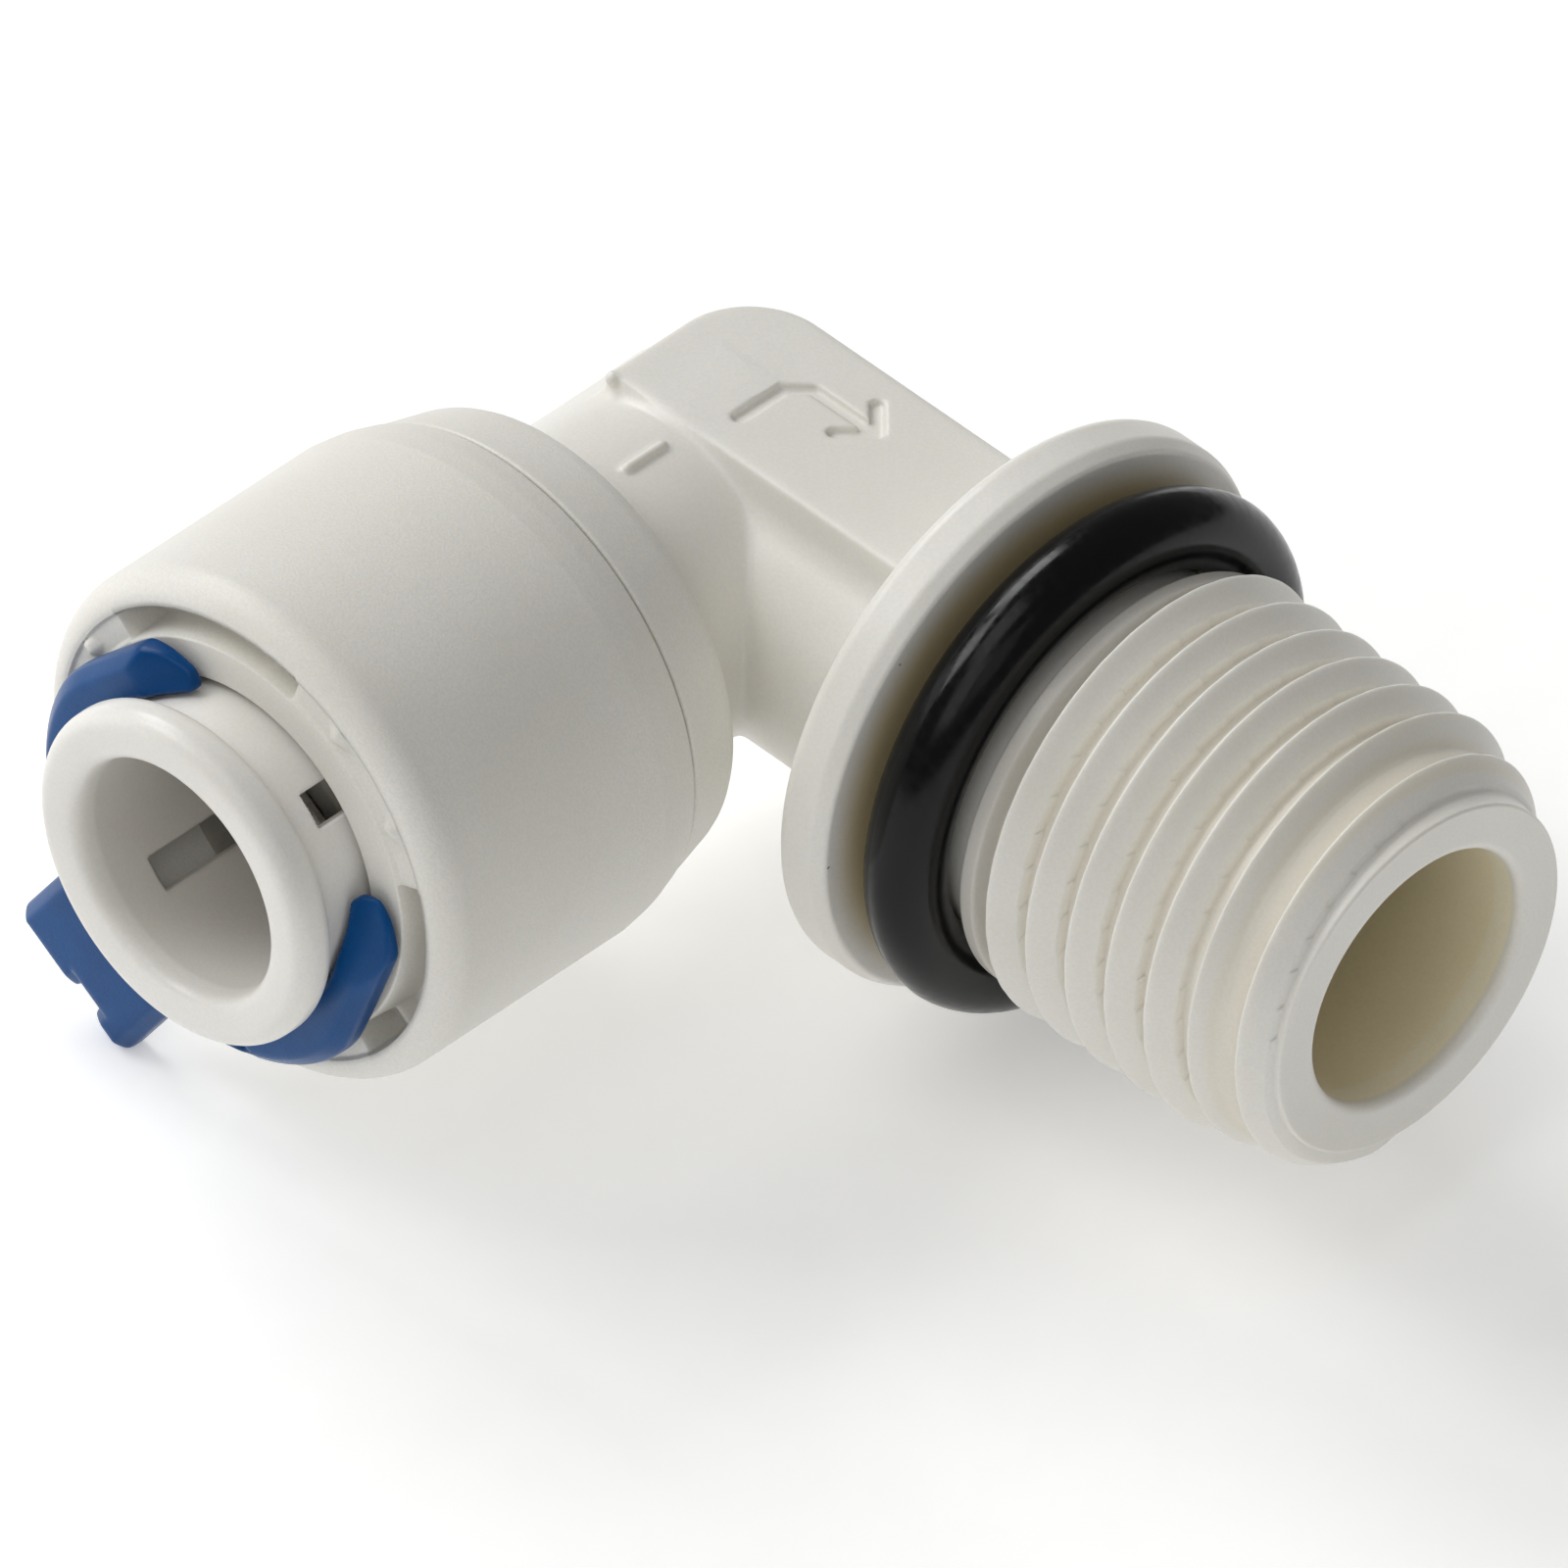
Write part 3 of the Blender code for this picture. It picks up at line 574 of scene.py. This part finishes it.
def blockField(x, y, z):
    look = blockLook
    arm = np.hypot(y, z) - look["armRadius"]
    neck = np.hypot(x, z) - look["neckRadius"]
    arm = np.maximum(arm, np.maximum(-x, x - look["armEnd"]))
    neck = np.maximum(neck, np.maximum(y, -y - look["neckEnd"]))
    knuckle = np.sqrt(x * x + y * y + z * z) - look["knuckleRadius"]
    solid = joined(arm, neck, look["crease"])
    solid = joined(solid, knuckle, look["knuckleBlend"])
    solid = joined(solid, padField(x, y, z, look["padHalfWidth"], look), look["padFillet"])
    solid = joined(solid, padField(x, y, -z, look["lowPadHalfWidth"], look), look["padFillet"])
    for along, radius, foot in ((x, np.hypot(y, z), "flangeFoot"), (-y, np.hypot(x, z), "shoulderFoot")):
        middle, half, reach, fillet = look[foot]
        solid = joined(solid, np.maximum(radius - reach, np.abs(along - middle) - half), fillet)
    dashAngle = math.radians(look["dashAngle"])
    dashX = x - look["dashAside"] * math.cos(dashAngle)
    dashY = np.maximum(np.abs(-y - look["dashMiddle"]) - look["dashHalfLength"], 0)
    dashZ = z - look["dashUp"] * math.sin(dashAngle)
    dash = np.sqrt(dashX**2 + dashY**2 + dashZ**2) - look["dashThickness"]
    solid = joined(solid, dash, look["dashFillet"])
    nibX, nibY, nibZ = look["nib"]
    nib = np.sqrt((x - nibX) ** 2 + (y - nibY) ** 2 + (z - nibZ) ** 2) - look["nibRadius"]
    solid = joined(solid, nib, look["nibFillet"])
    markFloor = look["padTop"] - look["markDepth"] - z
    mark = smoothMax(flowArrow(x, y) - look["markWidth"], markFloor, look["markEdge"])
    solid = cut(solid, mark, look["markFillet"])
    past = look["wayPast"]
    stemWay = np.maximum(np.hypot(y, z) - look["stemWay"], -past - x - look["stemWay"])
    stemBore = np.maximum(np.hypot(y, z) - look["boreRadius"], look["boreFloor"] - x)
    socketWay = np.maximum(np.hypot(x, z) - look["socketWay"], y - past - look["socketWay"])
    tubeBore = np.maximum(np.hypot(x, z) - look["tubeRadius"], look["tubeStop"] + y)
    for way in (stemWay, stemBore, socketWay, tubeBore):
        solid = cut(solid, way, look["wayEdge"])
    return solid


def stepped(start, *runs):
    # an axis whose spacing changes from run to run, each run given as (end, spacing)
    values = [np.array([start])]
    for end, spacing in runs:
        count = max(1, round((end - start) / spacing))
        values.append(np.linspace(start, end, count + 1)[1:])
        start = end
    return np.concatenate(values)


blockAxes = [
    stepped(-5.2, (1.0, 0.13), (4.2, 0.08), (9.6, 0.13)),
    stepped(-6.9, (-2.9, 0.13), (-2.3, 0.07), (-1.6, 0.13), (1.7, 0.08), (5.0, 0.13)),
    stepped(-5.1, (3.4, 0.14), (4.4, 0.11), (4.95, 0.06)),
]
addPiece(
    "elbowBlock", [skinned(blockField, blockAxes)], ivoryPlastic, "fitting",
    ["elbow_body"],
)


# socket neck: the shoulder behind the cap, the sleeve inside it, and the seal's gland

neckLook = {
    "back": 6.2, "backRadius": 6.22, "backRound": 0.75, "front": 8.3, "frontRadius": 6.74,
    "sleeveRadius": 5.95, "sleeveEnd": 11.4, "boreRadius": 3.3, "glandStart": 7.2, "glandRadius": 4.95,
}
neckLoop = roundedLoop([
    (neckLook["back"], neckLook["boreRadius"], 0),
    (neckLook["back"], neckLook["backRadius"], neckLook["backRound"]),
    (neckLook["front"], neckLook["frontRadius"], 0.08),
    (neckLook["front"], neckLook["sleeveRadius"], 0.05),
    (neckLook["sleeveEnd"], neckLook["sleeveRadius"], 0.2),
    (neckLook["sleeveEnd"], neckLook["glandRadius"], 0.2),
    (neckLook["glandStart"], neckLook["glandRadius"], 0.1),
    (neckLook["glandStart"], neckLook["boreRadius"], 0.05),
])
addPiece(
    "socketNeck", [turned(neckLoop, 160, alongSocket)], barrelPlastic, "fitting",
    ["elbow_body"],
)


# retaining cap: a barrel whose front face has a shallow ring with three deep curved slots in it

capLook = {
    "back": 8.4, "backRadius": 6.8, "bulge": 9.05, "bulgeRadius": 7.0, "taperEnd": 9.74, "radius": 7.1,
    "front": 17.3, "frontRound": 0.8,
    "bore": 6.05, "chamberStart": 11.6, "chamber": 5.45, "coneStart": 13.9, "coneEnd": 15.5, "hole": 4.4,
    "ringInner": 5.55, "ringOuter": 6.25, "ringDepth": 0.1, "wall": 0.06,
    "slotMiddles": (107, -13, -133), "slotSpan": 62, "slotDepth": 1.3,
    "ribTurn": -21, "ribWidth": 0.22, "ribDepth": 0.8, "pipTurns": (-12.6, 12.6),
    "pipRadius": 0.3, "pipHeight": 0.2, "landTurn": 60, "slotRadius": 6.0, "edgeReach": 0.07,
}


def capFrontDepth(radius, angle, look):
    # how far the front face lies below the rim's crest: the shallow ring, the slots within it, a rib across
    # each slot and two round pips between slots
    wall = look["wall"]
    mid = look["slotRadius"]
    across = smoothStep(look["ringInner"] - wall, look["ringInner"] + wall, radius)
    across = across * (1 - smoothStep(look["ringOuter"] - wall, look["ringOuter"] + wall, radius))
    depth = look["ringDepth"] * across
    for middle in look["slotMiddles"]:
        turn = (angle - math.radians(middle) + math.pi) % tau - math.pi
        side = (np.abs(turn) - math.radians(look["slotSpan"] / 2)) * mid
        slot = across * (1 - smoothStep(-wall, wall, side))
        beside = np.abs(turn - math.radians(look["ribTurn"])) * mid - look["ribWidth"] / 2
        rib = 1 - smoothStep(-wall, wall, beside)
        floor = look["slotDepth"] - (look["slotDepth"] - look["ribDepth"]) * rib
        depth = depth + slot * (floor - look["ringDepth"])
        for pipTurn in look["pipTurns"]:
            pipAngle = math.radians(middle + look["landTurn"] + pipTurn)
            pip = (angle - pipAngle + math.pi) % tau - math.pi
            reach = np.hypot(pip * mid, radius - mid) / look["pipRadius"]
            depth = depth - look["pipHeight"] * across * (1 - smoothStep(0.5, 1.0, reach))
    return depth


def makeCap(look):
    front = look["front"]
    loop = roundedLoop([
        (look["back"], look["bore"], 0.05),
        (look["back"], look["backRadius"], 0.1),
        (look["bulge"], look["bulgeRadius"], 1.2),
        (look["taperEnd"], look["radius"], 0.1),
        (front, look["radius"], look["frontRound"]),
        (front, look["hole"], 0.12),
        (look["coneEnd"], look["hole"], 0.1),
        (look["coneStart"], look["chamber"], 0.1),
        (look["chamberStart"], look["chamber"], 0.1),
        (look["chamberStart"], look["bore"], 0.05),
    ], steps=8)
    # rows across the front face, close together at the ring's two walls, and columns close together at the
    # slots' ends and ribs
    past = look["edgeReach"]
    mid = look["slotRadius"]
    outer = np.linspace(look["ringOuter"] + past, look["ringOuter"] - past, 7)
    inner = np.linspace(look["ringInner"] + past, look["ringInner"] - past, 7)
    between = np.linspace(look["ringOuter"] - 0.12, look["ringInner"] + 0.12, 9)
    hub = np.array([look["ringInner"] - 0.12, 5.2, 4.9, 4.65])
    faceRows = np.concatenate([outer, between, inner, hub])
    base = np.arange(200) / 200 * tau
    special = [base]
    for middle in look["slotMiddles"]:
        for edge in (-look["slotSpan"] / 2, look["slotSpan"] / 2):
            special.append(math.radians(middle + edge) + np.linspace(-past, past, 7) / mid)
        for edge in (-look["ribWidth"] / 2, look["ribWidth"] / 2):
            rib = math.radians(middle + look["ribTurn"])
            special.append(rib + (edge + np.linspace(-past, past, 5)) / mid)
    angle = np.sort(np.concatenate(special) % tau)
    angle = angle[np.concatenate([[True], np.diff(angle) > 0.0004])]
    frontRim = np.flatnonzero(np.isclose(loop[:, 0], front) & (loop[:, 1] > 5.5))
    split = frontRim[-1] + 1
    along = np.concatenate([loop[:split, 0], np.full(len(faceRows), front), loop[split:, 0]])
    radius = np.concatenate([loop[:split, 1], faceRows, loop[split:, 1]])
    onFace = along > front - look["frontRound"]
    onFace &= radius > look["hole"] + 0.13
    grid = np.repeat(along[:, None], len(angle), axis=1)
    grid[onFace] -= capFrontDepth(radius[onFace][:, None], angle[None, :], look)
    points = alongSocket(grid, radius[:, None], angle[None, :])
    return points, gridFaces(len(along), len(angle))


addPiece("retainingCap", [makeCap(capLook)], barrelPlastic, "fitting", ["retaining_cap"])


# collet: a front ring with the rim, and four spring fingers behind it

colletShape = {
    "front": 19.95, "rimBack": 18.7, "rimRadius": 4.7, "rimRound": 0.5, "mouthRound": 0.3, "bore": 3.3,
    "stemRadius": 4.2, "slotEnd": 17.95, "barbRadius": 5.0, "barbStart": 14.1, "barbEnd": 13.6, "back": 13.1,
    "slotWidth": 0.95, "slotTurn": 47, "fingers": 4,
    "overlap": 0.3, "stemEdge": 0.05, "edge": 0.06, "slope": 0.71, "rimFillet": 0.12, "barbFillet": 0.1,
}


def colletField(x, y, z):
    # a sleeve with a rim in front and a barb behind, less one cross of slots that leaves four fingers
    look = colletShape
    along = -y
    radius = np.hypot(x, z)
    stem = smoothMax(radius - look["stemRadius"], along - look["rimBack"] - look["overlap"], look["stemEdge"])
    half = (look["front"] - look["rimBack"]) / 2
    across = np.abs(along - look["rimBack"] - half) - half + look["rimRound"]
    beyond = radius - look["rimRadius"] + look["rimRound"]
    rim = np.hypot(np.maximum(across, 0), np.maximum(beyond, 0)) + np.minimum(np.maximum(across, beyond), 0)
    solid = joined(stem, rim - look["rimRound"], look["rimFillet"])
    outside = radius - look["barbRadius"]
    barb = np.maximum(outside, (along - look["barbStart"] + outside) * look["slope"])
    solid = joined(solid, barb, look["barbFillet"])
    lead = (look["barbEnd"] - along + outside) * look["slope"]
    solid = smoothMax(smoothMax(solid, lead, look["edge"]), look["back"] - along, look["edge"])
    mouth = look["bore"] - radius
    # the bore's edge is round at its mouth only
    near = smoothStep(look["front"] - 0.8, look["front"] - 0.1, along)
    solid = smoothMax(solid, mouth, 0.03 + (look["mouthRound"] - 0.03) * near)
    turn = math.radians(look["slotTurn"])
    a = np.abs(x * math.cos(turn) + z * math.sin(turn))
    b = np.abs(z * math.cos(turn) - x * math.sin(turn))
    slots = np.maximum(np.minimum(a, b) - look["slotWidth"] / 2, along - look["slotEnd"])
    return smoothMax(solid, -slots, 0.04)


colletAxes = [
    stepped(-5.2, (5.2, 0.085)),
    stepped(-20.1, (-17.7, 0.08), (-14.4, 0.16), (-13.0, 0.1)),
    stepped(-5.2, (5.2, 0.085)),
]
addPiece(
    "colletBody", [skinned(colletField, colletAxes)], colletPlastic, "collet",
    ["collet"],
)


# grip teeth: a leaning blade in each finger, its point standing into the tube's bore

toothShape = {"width": 1.6, "thickness": 0.25, "start": 13.95, "outer": 4.55, "tip": 3.12, "lean": 0.45}


def makeTooth(number, look):
    # the blade's outline carried across its width, the first and last rows drawn in to round its edges
    half = look["thickness"] / 2
    low = look["start"] - look["lean"]
    outline = roundedLoop([
        (low, look["tip"], 0.02),
        (low + half + 0.1, look["tip"] + 0.25, 0.04),
        (look["start"] + half, look["outer"], 0.05),
        (look["start"] - half, look["outer"], 0.05),
        (low - half, look["tip"] + 0.3, 0.04),
    ], steps=4)
    centre = outline.mean(axis=0)
    edge = look["width"] / 2
    across = np.array([-edge, -edge, -edge + 0.05, edge - 0.05, edge, edge])
    scale = np.array([0.001, 0.9, 1.0, 1.0, 0.9, 0.001])
    turn = math.radians(colletShape["slotTurn"] + 45 + number * 360 / colletShape["fingers"])
    shape = centre + (outline[None] - centre) * scale[:, None, None]
    side = np.array([-math.sin(turn), 0, math.cos(turn)])
    points = alongSocket(shape[..., 0], shape[..., 1], turn) + across[:, None, None] * side
    return points, gridFaces(len(across), len(outline), wrapRows=False)


for number in range(4):
    name = f"gripTooth{number + 1}"
    node = f"grip_tooth_{number + 1}"
    addPiece(name, [makeTooth(number, toothShape)], stainlessSteel, "collet", [node])


# locking clip: a horseshoe with square arm ends and a thumb tab, bevelled along its front edges

clipShape = {
    "direction": -122.5, "back": 17.5, "front": 18.45, "inner": 4.32, "outer": 5.82, "outerShift": 0.55,
    "mouth": 3.05, "rampStart": -1.7, "topRamp": 0.5, "lowRamp": 0.38,
    "topEnd": [(0.3, 5.72), (-2.3, 5.15), (-2.75, 4.65), (-3.1, 3.8), (-2.85, 3.3), (-2.2, 3.0)],
    "lowEnd": [(0.3, 5.72), (-1.4, 5.3), (-2.95, 4.9), (-3.6, 4.15), (-3.8, 3.5), (-3.35, 3.05)],
    "armLimit": 9, "tabStart": 2.0, "tabEnd": 9.1, "tabHalfWidth": 2.22, "tabCorner": 0.4,
    "bevel": 0.38, "edge": 0.06,
    "cornerRound": 0.08, "outlineRound": 0.15, "tabFillet": 0.5, "notchRound": 0.05, "innerRound": 0.12,
    "notch": (9.0, 0.55, 0.36, 0.3), "dimple": (4.15, 4.15, 0.3, 0.35),
}


def armField(u, side, corners):
    # the straight-sided end of one arm, inside the lines through its corners
    arm = side - clipShape["armLimit"]
    for (u0, v0), (u1, v1) in zip(corners, corners[1:]):
        length = math.hypot(u1 - u0, v1 - v0)
        beyond = ((v0 - v1) * (u - u0) + (u1 - u0) * (side - v0)) / -length
        arm = smoothMax(arm, beyond, clipShape["cornerRound"])
    return arm


def clipField(u, v, w):
    # u runs along the tab, v across it and w along the socket's axis
    look = clipShape
    side = np.abs(v)
    outer = np.hypot(np.maximum(u - look["outerShift"], 0), v) - look["outer"]
    arms = np.where(v < 0, armField(u, side, look["topEnd"]), armField(u, side, look["lowEnd"]))
    tabHalf = look["tabHalfWidth"]
    tab = roundedPlate(u, v, (look["tabStart"], -tabHalf), (look["tabEnd"], tabHalf), look["tabCorner"])
    outline = joined(smoothMax(outer, arms, look["outlineRound"]), tab, look["tabFillet"])
    notchU, notchV, notchHalf, notchDeep = look["notch"]
    notch = np.maximum(np.abs(v - notchV) - notchHalf, notchU - notchDeep - u)
    outline = smoothMax(outline, -notch, look["notchRound"])
    mouth = np.maximum(u, side - look["mouth"])
    opening = np.minimum(np.hypot(u, v) - look["inner"], mouth)
    flat = smoothMax(outline, -opening, look["innerRound"])
    edge = look["edge"]
    middle = (look["front"] + look["back"]) / 2
    half = (look["front"] - look["back"]) / 2
    solid = smoothMax(flat, np.abs(w - middle) - half, edge)
    bevel = (outline + (w - look["front"]) + look["bevel"]) * diagonal
    solid = smoothMax(solid, bevel, edge)
    slope = np.where(v < 0, look["topRamp"], look["lowRamp"])
    ramp = (w - look["front"] + slope * (look["rampStart"] - u)) / np.sqrt(1 + slope**2)
    solid = smoothMax(solid, ramp, edge)
    dimpleU, dimpleV, dimpleRadius, dimpleDeep = look["dimple"]
    dimple = np.maximum(np.hypot(u - dimpleU, v - dimpleV) - dimpleRadius, look["front"] - dimpleDeep - w)
    return cut(solid, dimple, look["notchRound"])


def makeClip(look):
    axes = [
        stepped(-4.2, (-1.2, 0.07), (8.3, 0.1), (9.4, 0.07)),
        stepped(-5.95, (5.95, 0.085)),
        stepped(look["back"] - 0.15, (look["front"] + 0.12, 0.06)),
    ]
    points, faces = skinned(clipField, axes)
    turn = math.radians(look["direction"])
    u, v, w = points.T
    place = [u * math.cos(turn) - v * math.sin(turn), -w, u * math.sin(turn) + v * math.cos(turn)]
    return np.stack(place, axis=-1), faces


addPiece("lockingClip", [makeClip(clipShape)], bluePlastic, "clip", ["locking_clip"])


# seals and spacer

threadSealShape = {"middle": 12.0, "radius": 6.28, "section": 1.04, "flash": 0.012}
tubeSealShape = {"middle": 8.12, "radius": 4.12, "section": 0.79, "flash": 0.008}
spacerShape = {"start": 9.1, "end": 10.6, "outer": 4.85, "inner": 3.4}


def makeSeal(look, place, columns):
    # a round section carried round the axis, with the mould's fine parting line round its outside and inside
    steps = 48
    sharpness = 40
    turn = np.arange(steps) / steps * tau
    section = look["section"] + look["flash"] * np.exp(-sharpness * np.cos(turn) ** 2)
    along = look["middle"] + section * np.cos(turn)
    radius = look["radius"] + section * np.sin(turn)
    loop = np.stack([along, radius], axis=-1)
    return turned(loop, columns, place)


addPiece("threadSeal", [makeSeal(threadSealShape, alongStem, 256)], blackRubber, "fitting",
         ["thread_o_ring"])
addPiece("tubeSeal", [makeSeal(tubeSealShape, alongSocket, 128)], blackRubber, "fitting",
         ["tube_o_ring"])
spacerLoop = roundedLoop([
    (spacerShape["start"], spacerShape["inner"], 0.1),
    (spacerShape["start"], spacerShape["outer"], 0.15),
    (spacerShape["end"], spacerShape["outer"], 0.15),
    (spacerShape["end"], spacerShape["inner"], 0.4),
])
addPiece(
    "spacerRing", [turned(spacerLoop, 128, alongSocket)], ivoryPlastic, "fitting",
    ["spacer_ring"],
)
print("small pieces made")


# floor, lights and camera

stageLook = {
    "floorSize": 3.0, "floorColor": (0.93, 0.93, 0.925), "floorGlow": 0.3, "worldStrength": 0.18,
    "lights": [
        # name, azimuth, elevation, distance, size, strength
        ("keyLight", -60, 40, 0.8, 0.35, 2.0),
        ("leftLight", -100, 40, 0.8, 0.35, 2.4),
        ("frontLight", 20, 40, 0.8, 0.4, 0.6),
        ("topLight", 0, 68, 0.8, 0.4, 0.75),
        ("rightLight", 60, 40, 0.8, 0.4, 0.25),
        ("lowLight", -60, 12, 0.8, 0.35, 0.35),
    ],
}


def directionFrom(azimuth, elevation):
    # azimuth 0 looks along +Y and 90 along -X, as seen from the returned side
    a, e = math.radians(azimuth), math.radians(elevation)
    return Vector((math.sin(a) * math.cos(e), -math.cos(a) * math.cos(e), math.sin(e)))


def makeStage(look):
    half = look["floorSize"] / 2
    mesh = bpy.data.meshes.new("floor")
    corners = [(-half, -half, 0), (half, -half, 0), (half, half, 0), (-half, half, 0)]
    mesh.from_pydata(corners, [], [(0, 1, 2, 3)])
    recipe = Recipe("palePaper")
    fibre = recipe.noise(1.5, 4.0)
    shade = tuple(0.985 * value for value in look["floorColor"])
    color = recipe.mix(recipe.ramp(fibre, *noiseEdges), (*look["floorColor"], 1), (*shade, 1))
    recipe.set(**{
        "Base Color": color, "Roughness": 0.7, "Specular IOR Level": 0.1,
        "Emission Color": (1, 1, 1, 1), "Emission Strength": look["floorGlow"],
    })
    mesh.materials.append(recipe.material)
    floor = bpy.data.objects.new("floor", mesh)
    bpy.context.scene.collection.objects.link(floor)
    world = bpy.data.worlds.new("softWhite")
    world.use_nodes = True
    sky = world.node_tree.nodes["Background"]
    sky.inputs["Color"].default_value = (1, 1, 1, 1)
    sky.inputs["Strength"].default_value = look["worldStrength"]
    bpy.context.scene.world = world
    centre = Vector(elbow)
    for name, azimuth, elevation, distance, size, strength in look["lights"]:
        lamp = bpy.data.lights.new(name, "AREA")
        lamp.shape = "SQUARE"
        lamp.size = size
        lamp.energy = strength
        light = bpy.data.objects.new(name, lamp)
        direction = directionFrom(azimuth, elevation)
        light.location = centre + direction * distance
        light.rotation_euler = (-direction).to_track_quat("-Z", "Y").to_euler()
        bpy.context.scene.collection.objects.link(light)


cameraLook = {
    "azimuth": 42.949, "elevation": 41.99, "roll": 2.6, "distance": 1.5, "focal": 1392.4,
    "aside": 0.0007497778, "down": 0.004492203,
}


def makeCamera(look):
    # looks past the elbow's centre by a small angle to the right and down (both given as tangents), so that
    # the fitting fills the frame
    back = directionFrom(look["azimuth"], look["elevation"])
    turn = (-back).to_track_quat("-Z", "Y").to_matrix()
    turn = turn @ Matrix.Rotation(math.radians(look["roll"]), 3, "Z")
    ahead = -back + turn.col[0] * look["aside"] - turn.col[1] * look["down"]
    ahead.normalize()
    right = ahead.cross(turn.col[1]).normalized()
    upward = right.cross(ahead)
    lens = bpy.data.cameras.new("camera")
    lens.lens = look["focal"]
    lens.sensor_width = 36
    lens.clip_start = 0.05
    lens.clip_end = 20
    camera = bpy.data.objects.new("camera", lens)
    frameMatrix = Matrix((right, upward, -ahead)).transposed().to_4x4()
    frameMatrix.translation = Vector(elbow) + back * look["distance"]
    camera.matrix_world = frameMatrix
    bpy.context.scene.collection.objects.link(camera)
    bpy.context.scene.camera = camera


makeStage(stageLook)
makeCamera(cameraLook)
bpy.context.scene.view_settings.view_transform = "Standard"
bpy.context.scene.view_settings.look = "None"
print("stage, lights and camera made")

bpy.context.view_layer.update()
